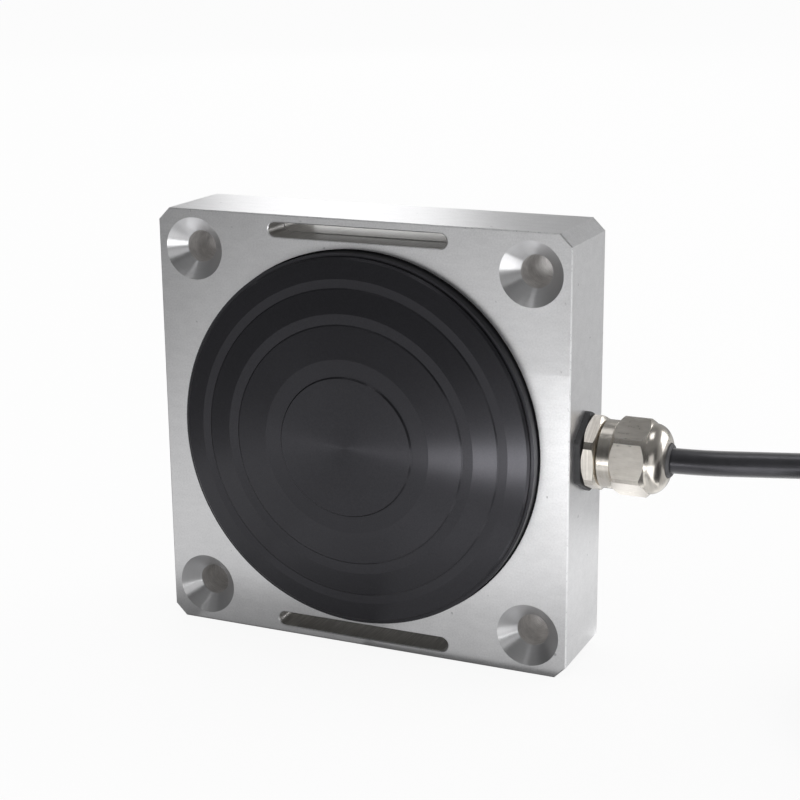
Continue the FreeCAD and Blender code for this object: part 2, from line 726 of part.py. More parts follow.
def make_gland_nut():
    """Dome nut: round skirt, hexagon with turned corners and a domed mouth."""
    skirt = rod_x(SKIRT_R, NUT_X, NUT_HEX_X)
    hexagon = hexagon_x(HEX_FLATS, NUT_HEX_X, DOME_X, NUT_TURN)
    limit = turned_x([
        (NUT_HEX_X, 0), (NUT_HEX_X, SKIRT_R), (NUT_HEX_X + NUT_FRONT_CHAMFER, NUT_CORNERS_R),
        (DOME_X - NUT_REAR_CHAMFER, NUT_CORNERS_R), (DOME_X, HEX_FLATS / 2), (DOME_X, 0),
    ])
    foot = Vector(DOME_X, CORE_Y, AXIS_Z)
    shoulder = Vector(DOME_X, CORE_Y, AXIS_Z + DOME_R)
    brim = Vector(NUT_END_X, CORE_Y, AXIS_Z + DOME_END_R)
    tip = Vector(NUT_END_X, CORE_Y, AXIS_Z)
    outline = Part.Wire([
        Part.makeLine(foot, shoulder),
        quarter_oval_x(DOME_X, NUT_END_X, DOME_R, DOME_END_R),
        Part.makeLine(brim, tip),
        Part.makeLine(tip, foot),
    ])
    dome = Part.Face(outline).revolve(foot, Vector(1, 0, 0), 360)
    nut = skirt.multiFuse([hexagon.common(limit), dome]).removeSplitter()
    thread_r = THREAD_R + THREAD_CLEARANCE
    thread_end = COLLAR_X + COLLAR_LENGTH + POCKET_EXTRA
    claw_r = COLLAR_BORE_R + CLAW_CLEARANCE
    _, cone_x = claw_span()
    bore = turned_x([
        (NUT_X - OVERCUT, 0), (NUT_X - OVERCUT, thread_r), (thread_end, thread_r), (thread_end, claw_r),
        (cone_x, claw_r), (cone_x + NUT_CONE_LENGTH, NUT_HOLE_R), (NUT_END_X + OVERCUT, NUT_HOLE_R),
        (NUT_END_X + OVERCUT, 0),
    ])
    return nut.cut(bore)


def make_cable_inner_end():
    """The sheathed cable from the gland's seal into the cavity."""
    return rod_x(CABLE_R, INNER_END_X, CABLE_ROUTE[0][0])


def swept(points, radius, share=ARC_SHARE, report=None):
    """Round bar along straight runs joined by tangent arcs."""
    spots = [Vector(*p) for p in points]
    edges = []
    radii = []
    length = 0.0
    start = spots[0]
    for before, corner, after in zip(spots, spots[1:], spots[2:]):
        way_in = (corner - before).normalize()
        way_out = (after - corner).normalize()
        shorter = min((corner - before).Length, (after - corner).Length)
        half_turn = way_in.getAngle(way_out) / 2
        reach = share * shorter
        bend_r = reach / math.tan(half_turn)
        inward = (way_out - way_in).normalize()
        entry = corner - way_in * reach
        leave = corner + way_out * reach
        middle = corner + inward * (bend_r / math.cos(half_turn) - bend_r)
        edges.append(Part.LineSegment(start, entry).toShape())
        edges.append(Part.Arc(entry, middle, leave).toShape())
        length += (entry - start).Length + 2 * half_turn * bend_r
        radii.append(bend_r)
        start = leave
    edges.append(Part.LineSegment(start, spots[-1]).toShape())
    length += (spots[-1] - start).Length
    path = Part.Wire(edges)
    ring = Part.makeCircle(radius, spots[0], spots[1] - spots[0])
    bar = path.makePipeShell([Part.Wire(ring)], True, False)
    if report:
        section = math.pi * radius ** 2
        print(report, "radii", [round(r, 1) for r in radii], "length", round(length, 1),
              "volume over section times length", round(bar.Volume / (section * length), 5))
    return bar


def make_core(side_y, side_z):
    """Core from the sheath's inner end, forward and then up to the board."""
    y = CORE_Y + side_y * CORE_OFFSET
    z = AXIS_Z + side_z * CORE_OFFSET
    turn_x = INNER_END_X - CORE_REACH - (CORE_STAGGER if side_y < 0 else 0)
    points = [(INNER_END_X, y, z), (turn_x, y, z), (turn_x, BOARD_Y, z)]
    shorter = min(INNER_END_X - turn_x, BOARD_Y - y)
    return swept(points, CORE_R, share=min(ARC_SHARE, CORE_BEND_R / shorter))


def stadium(bend_r, z_from, z_to):
    """Upright plate in the shape of one turn of the hank, filled."""
    end_x = HANK_START_X + HANK_RUN
    middle = block(HANK_START_X, end_x, -bend_r, bend_r, z_from, z_to)
    ends = [Part.makeCylinder(bend_r, z_to - z_from, Vector(x, 0, z_from)) for x in (HANK_START_X, end_x)]
    return middle.multiFuse(ends).removeSplitter()


def make_cable_hank():
    """Outer shape of the tied hank, with the entry from above and the tail in its loop."""
    outer = stadium(HANK_OUTER_BEND_R + CABLE_R, HANK_BASE_Z, HANK_TOP_Z)
    ring = outer.cut(stadium(HANK_INNER_BEND_R - CABLE_R, HANK_BASE_Z - OVERCUT, HANK_TOP_Z + OVERCUT))
    ring = ring.makeFillet(HANK_ROUND, [e for e in ring.Edges if e.BoundBox.ZLength < SAME_PLACE])
    last, end = Vector(*CABLE_ROUTE[-2]), Vector(*CABLE_ROUTE[-1])
    entry = Part.makeCylinder(CABLE_R, ENTRY_LENGTH, end, end - last)
    tail_start_x = HANK_START_X - HANK_INNER_BEND_R
    tail = rod_x(CABLE_R, tail_start_x, TAIL_END_X, TAIL_Y, TAIL_Z)
    return ring.multiFuse([entry, tail]).removeSplitter()


def rounded_bar_x(width, y_from, y_to, z_from, z_to, round_r):
    """Bar along X at the ties' place with its four long edges rounded."""
    bar = block(TIE_X - width / 2, TIE_X + width / 2, y_from, y_to, z_from, z_to)
    return bar.makeFillet(round_r, [e for e in bar.Edges if e.BoundBox.XLength > width / 2])


def make_hank_ties():
    """Cable tie round each long side of the hank, its head on top; the hank rests on both."""
    near_y = HANK_INNER_BEND_R - CABLE_R
    far_y = HANK_OUTER_BEND_R + CABLE_R
    middle_y = (near_y + far_y) / 2
    head_x, head_y, head_z = TIE_HEAD
    top_z = HANK_TOP_Z + head_z
    solids = []
    for side in (-1, 1):
        low, high = sorted((side * near_y, side * far_y))
        strap = rounded_bar_x(TIE_WIDTH, low - TIE_THICKNESS, high + TIE_THICKNESS,
                              0, HANK_TOP_Z + TIE_THICKNESS, TIE_ROUND + TIE_THICKNESS)
        inside = rounded_bar_x(2 * TIE_WIDTH, low, high, HANK_BASE_Z, HANK_TOP_Z, TIE_ROUND)
        y = side * middle_y
        head = block(TIE_X - head_x / 2, TIE_X + head_x / 2, y - head_y / 2, y + head_y / 2,
                     HANK_TOP_Z, top_z)
        end = block(TIE_X - TIE_WIDTH / 2, TIE_X + TIE_WIDTH / 2,
                    y - TIE_THICKNESS / 2, y + TIE_THICKNESS / 2, top_z, top_z + TIE_END_LENGTH)
        solids.append(strap.cut(inside).multiFuse([head, end]).removeSplitter())
    return Part.makeCompound(solids)


def make_end_sleeve():
    """Shrunk sleeve over the cut sheath."""
    return rod_x(CABLE_R + SLEEVE_WALL, TAIL_END_X, TAIL_END_X + SLEEVE_LENGTH, TAIL_Y, TAIL_Z)


def make_lead(side_y, side_z, place, radius):
    """One stripped lead beyond the sleeve, from its place in the sheath to its place in the fan."""
    start_x = TAIL_END_X + SLEEVE_LENGTH
    y = TAIL_Y + side_y * CORE_OFFSET
    z = TAIL_Z + side_z * CORE_OFFSET
    far_y = TAIL_Y + place * LEAD_SPREAD
    far_z = radius + LEAD_FLOOR_GAP
    third = LEAD_LENGTH / 3
    points = [
        (start_x, y, z),
        (start_x + third, y, z),
        (start_x + 2 * third, y + LEAD_FAN_SHARE * (far_y - y), z + LEAD_DROP_SHARE * (far_z - z)),
        (start_x + LEAD_LENGTH, far_y, far_z),
    ]
    return swept(points, radius)


def main():
    os.makedirs("parts", exist_ok=True)
    nodes = {
        "housing_block": make_housing(),
        "load_plate": make_load_plate(),
        "dust_ring": make_dust_ring(),
        "spring_element": make_spring_element(),
        "element_screws": make_element_screws(),
        "plate_screw": make_plate_screw(),
        "strain_gauges": make_strain_gauges(),
        "gauge_wires": make_gauge_wires(),
        "board_pillars": make_pillars(),
        "bridge_board": make_bridge_board(),
        "board_screws": make_board_screws(),
        "trim_resistors": make_resistors(),
        "cover_seal": make_cover_seal(),
        "back_cover": make_back_cover(),
        "cover_screws": make_cover_screws(),
        "gland_gasket": make_gland_gasket(),
        "gland_body": make_gland_body(),
        "gland_claw": make_gland_claw(),
        "gland_seal": make_gland_seal(),
        "gland_nut": make_gland_nut(),
        "cable_inner_end": make_cable_inner_end(),
        "core_red": make_core(1, 1),
        "core_white": make_core(1, -1),
        "core_black": make_core(-1, 1),
        "core_green": make_core(-1, -1),
        "cable_run": swept(CABLE_ROUTE, CABLE_R, report="cable run"),
        "cable_hank": make_cable_hank(),
        "hank_ties": make_hank_ties(),
        "end_sleeve": make_end_sleeve(),
        "lead_red": make_lead(-1, 1, -2, CORE_R),
        "lead_black": make_lead(-1, -1, -1, CORE_R),
        "lead_screen": make_lead(0, 0, 0, SCREEN_WIRE_R),
        "lead_green": make_lead(1, -1, 1, CORE_R),
        "lead_white": make_lead(1, 1, 2, CORE_R),
    }
    for name, shape in nodes.items():
        solids = len(shape.Solids)
        print(name, "solids", solids, "valid", shape.isValid(), "volume", round(shape.Volume, 1))
        shape.exportStep("parts/" + name + ".step")


main()
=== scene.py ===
"""Brake pedal force sensor: cable, finishes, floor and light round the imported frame.

Metres, in the frame's axes: X runs along the front face towards the cable gland, Y from the load plate
to the back cover, and Z is up. The block stands on its lower narrow side.
"""

import math
import random

import bmesh
import bpy
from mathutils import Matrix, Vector


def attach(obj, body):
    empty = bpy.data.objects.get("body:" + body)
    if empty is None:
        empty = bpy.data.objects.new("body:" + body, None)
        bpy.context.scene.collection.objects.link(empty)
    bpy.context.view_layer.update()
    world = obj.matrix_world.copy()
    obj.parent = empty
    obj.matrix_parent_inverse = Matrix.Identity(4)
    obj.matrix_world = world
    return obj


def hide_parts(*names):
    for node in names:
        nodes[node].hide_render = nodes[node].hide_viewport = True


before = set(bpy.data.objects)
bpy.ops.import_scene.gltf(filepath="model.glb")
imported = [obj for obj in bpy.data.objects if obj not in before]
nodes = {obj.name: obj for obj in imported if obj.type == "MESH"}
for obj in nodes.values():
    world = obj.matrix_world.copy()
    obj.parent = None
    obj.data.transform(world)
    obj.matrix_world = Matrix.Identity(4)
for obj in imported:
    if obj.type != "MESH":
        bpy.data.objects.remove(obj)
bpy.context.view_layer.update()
scene = bpy.context.scene
scene.view_settings.view_transform = "Standard"

MM = 0.001
# Height of the load plate's axis, in the middle of the block
AXIS_Z = 0.045


# Camera

# Solved from the photo
CAMERA_PLACE = (0.14943, -0.32174, 0.14834)
CAMERA_TURN_DEG = (74.6113, 0.5197, 24.0614)
CAMERA_LENS = 79.91
SENSOR_WIDTH = 36.0


def make_camera():
    """The photo's view."""
    data = bpy.data.cameras.new("camera")
    data.lens = CAMERA_LENS
    data.sensor_width = SENSOR_WIDTH
    camera = bpy.data.objects.new("camera", data)
    camera.location = CAMERA_PLACE
    camera.rotation_euler = [math.radians(a) for a in CAMERA_TURN_DEG]
    scene.collection.objects.link(camera)
    scene.camera = camera


# Cable

CABLE_R = 0.0025
CABLE_STEPS = 7
CABLE_ROUNDNESS = 8
# From inside the gland to the first turn of the hank
ROUTE = [
    (0.0570, 0.0000, 0.0450),
    (0.0662, 0.0000, 0.0450),
    (0.0800, 0.00425, 0.0450),
    (0.0945, 0.0097, 0.0447),
    (0.1070, 0.0168, 0.0435),
    (0.1185, 0.0226, 0.0416),
    (0.1295, 0.0242, 0.0389),
    (0.1410, 0.0250, 0.0356),
    (0.1515, 0.0250, 0.0336),
]
# Middles of the hank's left and right bends
LEFT_X = 0.119
RIGHT_X = 0.153
# Control points of the straight legs between the bends
LEG_POINTS_X = (0.147, 0.125)
OUTER_R = 0.025
INNER_R = 0.020
# Two turns a layer, and seven layers
TURN_RADII = (OUTER_R, INNER_R) + 3 * (INNER_R, OUTER_R, OUTER_R, INNER_R)
TOP_TURN_Z = 0.0335
# The tail leaves the lowest turn in a tighter bend and ends inside the hank
TAIL_R = 0.016
TAIL_Y = 0.012
TAIL_Z = 0.0035
TAIL_END_X = (0.1245, 0.1290)
BEND_ANGLES = (-75, -45, -15, 15, 45, 75)
# The spline runs inside its control points, so these stand a little further out
BEND_REACH = 1.030
# Sideways swing of the cable where it steps down a layer
SHIFT_BUMP = 0.0012
WOBBLE = 0.00012
rng = random.Random(7)


def bend_point(centre_x, centre_y, side, radius, angle, z):
    """Control point of a half turn; side is +1 for the right bend and -1 for the left one."""
    turn = math.radians(angle)
    reach = BEND_REACH * radius
    return (centre_x + side * reach * math.cos(turn), centre_y + reach * math.sin(turn), z)


def hank_points():
    """Control points of the tied turns, from the top layer down, and of the tail in their loop."""
    points = []
    last = len(TURN_RADII) - 1
    for k, radius in enumerate(TURN_RADII):
        z = TOP_TURN_Z - (k // 2) * 2 * CABLE_R
        points += [bend_point(RIGHT_X, 0, 1, radius, -a, z) for a in BEND_ANGLES]
        points += [(x, -radius, z) for x in LEG_POINTS_X]
        if k == last:
            points += [bend_point(LEFT_X, TAIL_Y - TAIL_R, -1, TAIL_R, a, z) for a in BEND_ANGLES]
            break
        next_radius = TURN_RADII[k + 1]
        next_z = TOP_TURN_Z - ((k + 1) // 2) * 2 * CABLE_R
        for i, angle in enumerate(BEND_ANGLES):
            share = (i + 0.5) / len(BEND_ANGLES)
            ease = share * share * (3 - 2 * share)
            bump = 0.0
            if next_z != z:
                bump = SHIFT_BUMP * math.sin(math.pi * share) * (1 if radius == OUTER_R else -1)
            reach = radius + ease * (next_radius - radius) + bump
            points.append(bend_point(LEFT_X, 0, -1, reach, angle, z + ease * (next_z - z)))
        points += [(x, next_radius, next_z) for x in reversed(LEG_POINTS_X)]
    wobbled = []
    for x, y, z in points:
        wobbled.append((x + rng.uniform(-WOBBLE, WOBBLE), y + rng.uniform(-WOBBLE, WOBBLE), z))
    return wobbled + [(x, TAIL_Y, TAIL_Z) for x in TAIL_END_X]


def nurbs_line(name, points, radius):
    """Curve object of one open NURBS spline; its points carry the radius, which its box counts too."""
    data = bpy.data.curves.new(name, "CURVE")
    data.dimensions = "3D"
    spline = data.splines.new("NURBS")
    spline.points.add(len(points) - 1)
    for point, place in zip(spline.points, points):
        point.co = (*place, 1.0)
        point.radius = radius
    spline.order_u = 3
    spline.use_endpoint_u = True
    line = bpy.data.objects.new(name, data)
    scene.collection.objects.link(line)
    return line


def make_cable():
    """The whole cable in one spline, in place of the frame's closed ring."""
    cable = nurbs_line("signal_cable", ROUTE + hank_points(), CABLE_R)
    cable.data.resolution_u = CABLE_STEPS
    cable.data.bevel_depth = 1.0
    cable.data.bevel_resolution = CABLE_ROUNDNESS
    cable.data.use_fill_caps = True
    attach(cable, "root")
    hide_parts("cable_run", "cable_hank")
    return cable


# Stripped end: twisted screen strands and the tinned tips of the leads

LEAD_START_X = 0.142
LEAD_LENGTH = 0.015
LEAD_SPREAD = 0.0018
LEAD_FAN_SHARE = 0.6
LEAD_DROP_SHARE = 0.35
LEAD_FLOOR_GAP = 0.0002
CORE_R = 0.0006
CORE_OFFSET = 0.0009
SCREEN_R = 0.0005
TIP_LENGTH = 0.0042
TIP_SUNK = 0.0004
TIP_R = 0.0004
TIP_BENDS = (0.4, 0.7)
STRAND_SHARE = 0.345
STRANDS = 6
STRAND_SIDES = 8
STRAND_PITCH = 0.0042
STRAND_STEPS_PER_TURN = 16
STRAND_STEPS_LEAST = 6
# Red, black, green and white: which side of the middle a lead starts on, and its place in the fan
LEADS = ((-1, 1, -2), (-1, -1, -1), (1, -1, 1), (1, 1, 2))


def lead_points(side_y, side_z, place, radius):
    """The four points of a lead's path, as the frame has it."""
    y = TAIL_Y + side_y * CORE_OFFSET
    z = TAIL_Z + side_z * CORE_OFFSET
    far_y = TAIL_Y + place * LEAD_SPREAD
    far_z = radius + LEAD_FLOOR_GAP
    bend_y = y + LEAD_FAN_SHARE * (far_y - y)
    bend_z = z + LEAD_DROP_SHARE * (far_z - z)
    third = LEAD_LENGTH / 3
    return [
        Vector((LEAD_START_X, y, z)),
        Vector((LEAD_START_X + third, y, z)),
        Vector((LEAD_START_X + 2 * third, bend_y, bend_z)),
        Vector((LEAD_START_X + LEAD_LENGTH, far_y, far_z)),
    ]


def curve_place(points, share):
    """Place on a smooth line that starts and ends at the outer points."""
    span = share * (len(points) - 2)
    k = min(int(span), len(points) - 3)
    t = span - k
    a = points[0] if k == 0 else (points[k] + points[k + 1]) / 2
    b = points[-1] if k == len(points) - 3 else (points[k + 1] + points[k + 2]) / 2
    return (1 - t) ** 2 * a + 2 * t * (1 - t) * points[k + 1] + t * t * b


def square_to(path, i):
    """Two directions square to the path at its place i, and to each other."""
    ahead = (path[min(i + 1, len(path) - 1)] - path[max(i - 1, 0)]).normalized()
    side = ahead.cross(Vector((0, 0, 1))).normalized()
    return side, side.cross(ahead)


def add_strand(bm, path, radius):
    """Closed round bar along a list of places."""
    rings = []
    for i, place in enumerate(path):
        side, up = square_to(path, i)
        ring = []
        for k in range(STRAND_SIDES):
            turn = 2 * math.pi * k / STRAND_SIDES
            ring.append(bm.verts.new(place + radius * (math.cos(turn) * side + math.sin(turn) * up)))
        rings.append(ring)
    for a, b in zip(rings, rings[1:]):
        for k in range(STRAND_SIDES):
            m = (k + 1) % STRAND_SIDES
            bm.faces.new((a[k], a[m], b[m], b[k]))
    bm.faces.new(list(reversed(rings[0])))
    bm.faces.new(rings[-1])


def add_twist(bm, points, radius):
    """Bundle of strands twisted round a middle one, within the radius."""
    length = sum((b - a).length for a, b in zip(points, points[1:]))
    turns = length / STRAND_PITCH
    steps = max(STRAND_STEPS_LEAST, round(turns * STRAND_STEPS_PER_TURN))
    middle = [curve_place(points, i / steps) for i in range(steps + 1)]
    strand_r = STRAND_SHARE * radius
    add_strand(bm, middle, strand_r)
    for k in range(STRANDS):
        path = []
        for i, place in enumerate(middle):
            side, up = square_to(middle, i)
            turn = 2 * math.pi * (k / STRANDS + turns * i / steps)
            path.append(place + (radius - strand_r) * (math.cos(turn) * side + math.sin(turn) * up))
        add_strand(bm, path, strand_r)


def finish_piece(bm, name):
    """Turn the mesh under construction into a piece that rides on the body; its caps stay flat."""
    mesh = bpy.data.meshes.new(name)
    bmesh.ops.recalc_face_normals(bm, faces=bm.faces)
    bm.to_mesh(mesh)
    bm.free()
    for face in mesh.polygons:
        face.use_smooth = len(face.vertices) == 4
    piece = bpy.data.objects.new(name, mesh)
    scene.collection.objects.link(piece)
    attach(piece, "root")
    return piece


def make_stripped_end():
    """Bare strands of the screen, and of the four leads beyond their insulation."""
    screen = bmesh.new()
    add_twist(screen, lead_points(0, 0, 0, SCREEN_R), SCREEN_R)
    strands = finish_piece(screen, "screen_strands")
    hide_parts("lead_screen")
    tips = bmesh.new()
    for side_y, side_z, place in LEADS:
        points = lead_points(side_y, side_z, place, CORE_R)
        along = (points[3] - points[2]).normalized()
        along.z = 0.0
        start = points[3] - TIP_SUNK * along
        end = start + (TIP_SUNK + TIP_LENGTH) * along.normalized()
        add_twist(tips, [start, *(start.lerp(end, share) for share in TIP_BENDS), end], TIP_R)
    finish_piece(tips, "lead_tips")


# Node trees

WHITE = (1.0, 1.0, 1.0, 1.0)
# Sockets that a Mix node uses for colours: two inputs and the output
MIX_A, MIX_B, MIX_RESULT = 6, 7, 2


class Tree:
    """A node tree under construction, of a material or of the world."""

    def __init__(self, owner):
        owner.use_nodes = True
        self.tree = owner.node_tree
        self.tree.nodes.clear()

    def node(self, kind, **settings):
        """New node of this kind, with these settings."""
        node = self.tree.nodes.new(kind)
        for key, value in settings.items():
            setattr(node, key, value)
        return node

    def feed(self, socket, value):
        """Link a socket to another one, or give it a value of its own."""
        if isinstance(value, bpy.types.NodeSocket):
            self.tree.links.new(value, socket)
        else:
            socket.default_value = value

    def math(self, operation, a, b=0.0, clamp=False):
        """Result of one step of arithmetic."""
        node = self.node("ShaderNodeMath", operation=operation, use_clamp=clamp)
        self.feed(node.inputs[0], a)
        self.feed(node.inputs[1], b)
        return node.outputs[0]

    def between(self, value, low, high, to_low=0.0, to_high=1.0, kind="LINEAR"):
        """The value, moved from the span low to high into the span to_low to to_high."""
        node = self.node("ShaderNodeMapRange", interpolation_type=kind)
        self.feed(node.inputs["Value"], value)
        for socket, limit in (("From Min", low), ("From Max", high), ("To Min", to_low), ("To Max", to_high)):
            node.inputs[socket].default_value = limit
        return node.outputs["Result"]

    def blend(self, share, a, b):
        """Colour a where share is 0 and b where it is 1."""
        node = self.node("ShaderNodeMix", data_type="RGBA")
        self.feed(node.inputs[0], share)
        self.feed(node.inputs[MIX_A], (*a, 1.0) if isinstance(a, tuple) else a)
        self.feed(node.inputs[MIX_B], (*b, 1.0) if isinstance(b, tuple) else b)
        return node.outputs[MIX_RESULT]

    def blend_shaders(self, share, a, b):
        """Shader a where share is 0 and b where it is 1."""
        node = self.node("ShaderNodeMixShader")
        for socket, value in zip(node.inputs, (share, a, b)):
            self.feed(socket, value)
        return node.outputs[0]

    def background(self, colour, level=1.0):
        """Even light from all round, or from where the colour says."""
        node = self.node("ShaderNodeBackground")
        self.feed(node.inputs[0], colour)
        self.feed(node.inputs[1], level)
        return node.outputs[0]


# Finishes: every material has its own colour variation, roughness and relief
# Scales are in clouds, grooves or points a metre, and distances of relief in metres

# Millimetres from the middle of the block's face to its mounting holes, along X and Z
HOLE_OUT = 36.8
# Share of a turn that lays the long side of a highlight across the grooves instead of along them
ACROSS_GROOVES = 0.25
# Coated black surfaces mirror white light slightly blue
COOL_TINT = (0.92, 0.91, 1.0, 1.0)
GLOSS_SPREAD = 0.06
PLAIN_GRAIN = 4000.0
# Most of a noise pattern lies between these values
USUAL_SPAN = (0.3, 0.7)


class Finish(Tree):
    """A material under construction, with short names for the patterns that it uses."""

    def __init__(self, name):
        self.material = bpy.data.materials.new(name)
        super().__init__(self.material)
        self.shader = self.node("ShaderNodeBsdfPrincipled")
        out = self.node("ShaderNodeOutputMaterial")
        self.feed(out.inputs["Surface"], self.shader.outputs["BSDF"])
        self.place = self.node("ShaderNodeTexCoord").outputs["Object"]

    def set(self, **values):
        """Values or links for the shader's own sockets, such as base_color or metallic."""
        for key, value in values.items():
            self.feed(self.shader.inputs[key.replace("_", " ").title().replace("Ior", "IOR")], value)

    def noise(self, scale, detail=3.0, rough=0.55, place=None):
        """Cloudy pattern with about scale clouds a metre."""
        node = self.node("ShaderNodeTexNoise")
        self.feed(node.inputs["Vector"], place or self.place)
        node.inputs["Scale"].default_value = scale
        node.inputs["Detail"].default_value = detail
        node.inputs["Roughness"].default_value = rough
        return node.outputs["Fac"]

    def streaks(self, scale, detail, rough=0.55):
        """Noise with a scale for each axis, so that it runs along one of them."""
        node = self.node("ShaderNodeMapping")
        self.feed(node.inputs["Vector"], self.place)
        node.inputs["Scale"].default_value = scale
        return self.noise(1.0, detail, rough, place=node.outputs[0])

    def rings(self, radius, scale, detail, rough):
        """Noise that changes with the radius alone, as turned grooves do."""
        along = self.joined(self.math("MULTIPLY", radius, scale), 0.0, 0.0)
        return self.noise(1.0, detail, rough, place=along)

    def waves(self, value, rate):
        """Even waves between -1 and 1, rate radians for each unit of the value."""
        return self.math("SINE", self.math("MULTIPLY", value, rate))

    def cells(self, scale):
        """Distance to the nearest of scattered points, about scale of them a metre."""
        node = self.node("ShaderNodeTexVoronoi", feature="F1")
        self.feed(node.inputs["Vector"], self.place)
        node.inputs["Scale"].default_value = scale
        return node.outputs["Distance"]

    def weighed(self, a, b, share):
        """Sum of two patterns, with a share for the first and the rest for the second."""
        return self.math("ADD", self.math("MULTIPLY", a, share), self.math("MULTIPLY", b, 1.0 - share))

    def tones(self, pattern, dark, light, soft=0.2):
        """Two colours where the pattern is low and high; soft is half the span from one to the other."""
        return self.blend(self.between(pattern, 0.5 - soft, 0.5 + soft), dark, light)

    def spread(self, pattern, low, high):
        """The usual span of a pattern, stretched from low to high."""
        return self.between(pattern, *USUAL_SPAN, low, high)

    def relief(self, height, distance, strength, under=None):
        """Normal of a bumpy surface; under is another relief that it lies on."""
        node = self.node("ShaderNodeBump")
        node.inputs["Strength"].default_value = strength
        node.inputs["Distance"].default_value = distance
        self.feed(node.inputs["Height"], height)
        if under is not None:
            self.feed(node.inputs["Normal"], under)
        return node.outputs["Normal"]

    def split(self):
        """Place along X, Y and Z."""
        node = self.node("ShaderNodeSeparateXYZ")
        self.feed(node.inputs[0], self.place)
        return node.outputs[0], node.outputs[1], node.outputs[2]

    def joined(self, x, y, z):
        """Vector of three values or sockets."""
        node = self.node("ShaderNodeCombineXYZ")
        for socket, value in zip(node.inputs, (x, y, z)):
            self.feed(socket, value)
        return node.outputs[0]

    def from_axis(self):
        """Place across the load plate's axis: along X, and up from the axis."""
        x, _, z = self.split()
        return x, self.math("SUBTRACT", z, AXIS_Z)

    def length(self, a, b):
        """Length of the vector (a, b)."""
        squares = self.math("ADD", self.math("MULTIPLY", a, a), self.math("MULTIPLY", b, b))
        return self.math("SQRT", squares)

    def round_axis(self, axis):
        """Direction of grooves that run round an axis through the middle."""
        return self.node("ShaderNodeTangent", direction_type="RADIAL", axis=axis).outputs[0]


def plain_finish(name, dark, light, roughness, metallic=0.0, mottle=400.0, height=0.00001):
    """Two close tones in soft patches, uneven gloss and a fine grain."""
    f = Finish(name)
    f.set(base_color=f.tones(f.noise(mottle, 4.0), dark, light),
          roughness=f.spread(f.noise(mottle * 2.3, 3.0), roughness - GLOSS_SPREAD, roughness + GLOSS_SPREAD),
          metallic=metallic, normal=f.relief(f.noise(PLAIN_GRAIN, 2.0), height, 0.5))
    return f


def block_face_finish():
    """Satin milled aluminium: fine mottle, a few dark specks and faint tool marks."""
    f = Finish("block_satin")
    fine = f.noise(2600.0, 3.0, 0.6)
    broad = f.streaks((260.0, 520.0, 620.0), 3.0, 0.5)
    tone = f.weighed(fine, broad, 0.65)
    colour = f.tones(tone, (0.76, 0.76, 0.77), (0.88, 0.88, 0.89), 0.15)
    speck = f.between(f.cells(330.0), 0.13, 0.06)
    rare = f.between(f.noise(700.0, 1.0), 0.58, 0.64)
    specks = f.math("MULTIPLY", speck, rare, clamp=True)
    colour = f.blend(f.math("MULTIPLY", specks, 0.55), colour, (0.22, 0.22, 0.23))
    f.set(base_color=colour, roughness=f.spread(tone, 0.29, 0.36), metallic=1.0)
    marks = f.relief(f.streaks((60.0, 900.0, 2600.0), 2.0), 0.000004, 0.5)
    grain = f.relief(fine, 0.000009, 0.6, marks)
    f.set(normal=f.relief(broad, 0.000008, 0.5, grain))
    return f


def edge_finish():
    """Broken outer edge: a line lighter than the faces, partly scraped metal and partly painted highlight,
    with small dull nicks.
    """
    f = Finish("block_edge_scraped_and_highlight")
    nicks = f.noise(900.0, 4.0, 0.7)
    rare = f.between(f.noise(2600.0, 2.0), 0.60, 0.68)
    # Lighter than the faces: partly scraped metal, partly painted highlight on the edge
    colour = f.tones(nicks, (0.90, 0.90, 0.91), (0.97, 0.97, 0.98), 0.15)
    f.set(base_color=f.blend(f.math("MULTIPLY", rare, 0.4), colour, (0.30, 0.30, 0.31)),
          roughness=f.spread(nicks, 0.44, 0.34), metallic=1.0, normal=f.relief(nicks, 0.000008, 0.5))
    return f


def sink_finish():
    """Turned countersink: grooves round each mounting hole spread the light across them."""
    f = Finish("block_sink_turned")
    x, height = f.from_axis()
    dx = f.math("SUBTRACT", x, f.math("MULTIPLY", f.math("SIGN", x), HOLE_OUT * MM))
    dz = f.math("SUBTRACT", height, f.math("MULTIPLY", f.math("SIGN", height), HOLE_OUT * MM))
    rings = f.rings(f.length(dx, dz), 5200.0, 3.0, 0.6)
    f.set(base_color=f.tones(rings, (0.77, 0.77, 0.78), (0.84, 0.84, 0.85)),
          roughness=f.spread(rings, 0.27, 0.31), metallic=1.0,
          anisotropic=0.75, anisotropic_rotation=ACROSS_GROOVES,
          tangent=f.joined(f.math("MULTIPLY", dz, -1.0), 0.0, dx), normal=f.relief(rings, 0.0000015, 0.5))
    return f


def bore_finish():
    """Drilled hole walls, rough and a little stained, and a little darker than the outer faces: painted shade
    in the holes.
    """
    f = Finish("block_bore_drilled")
    grooves = f.streaks((300.0, 5200.0, 300.0), 2.0, 0.6)
    tone = f.weighed(grooves, f.noise(420.0, 4.0, 0.7), 0.4)
    f.set(base_color=f.tones(tone, (0.64, 0.625, 0.615), (0.92, 0.908, 0.898), 0.15),
          roughness=f.spread(tone, 0.70, 0.80), metallic=1.0, normal=f.relief(grooves, 0.00002, 0.7))
    return f


def slot_finish():
    """Milled slot walls with upright cutter lines, much darker than the outer faces: painted shade in the
    slot.
    """
    f = Finish("block_slot_milled")
    lines = f.streaks((2200.0, 120.0, 700.0), 3.0, 0.6)
    f.set(base_color=f.tones(lines, (0.44, 0.43, 0.42), (0.66, 0.65, 0.63)),
          roughness=f.spread(lines, 0.32, 0.44), metallic=1.0, normal=f.relief(lines, 0.00001, 0.6))
    return f


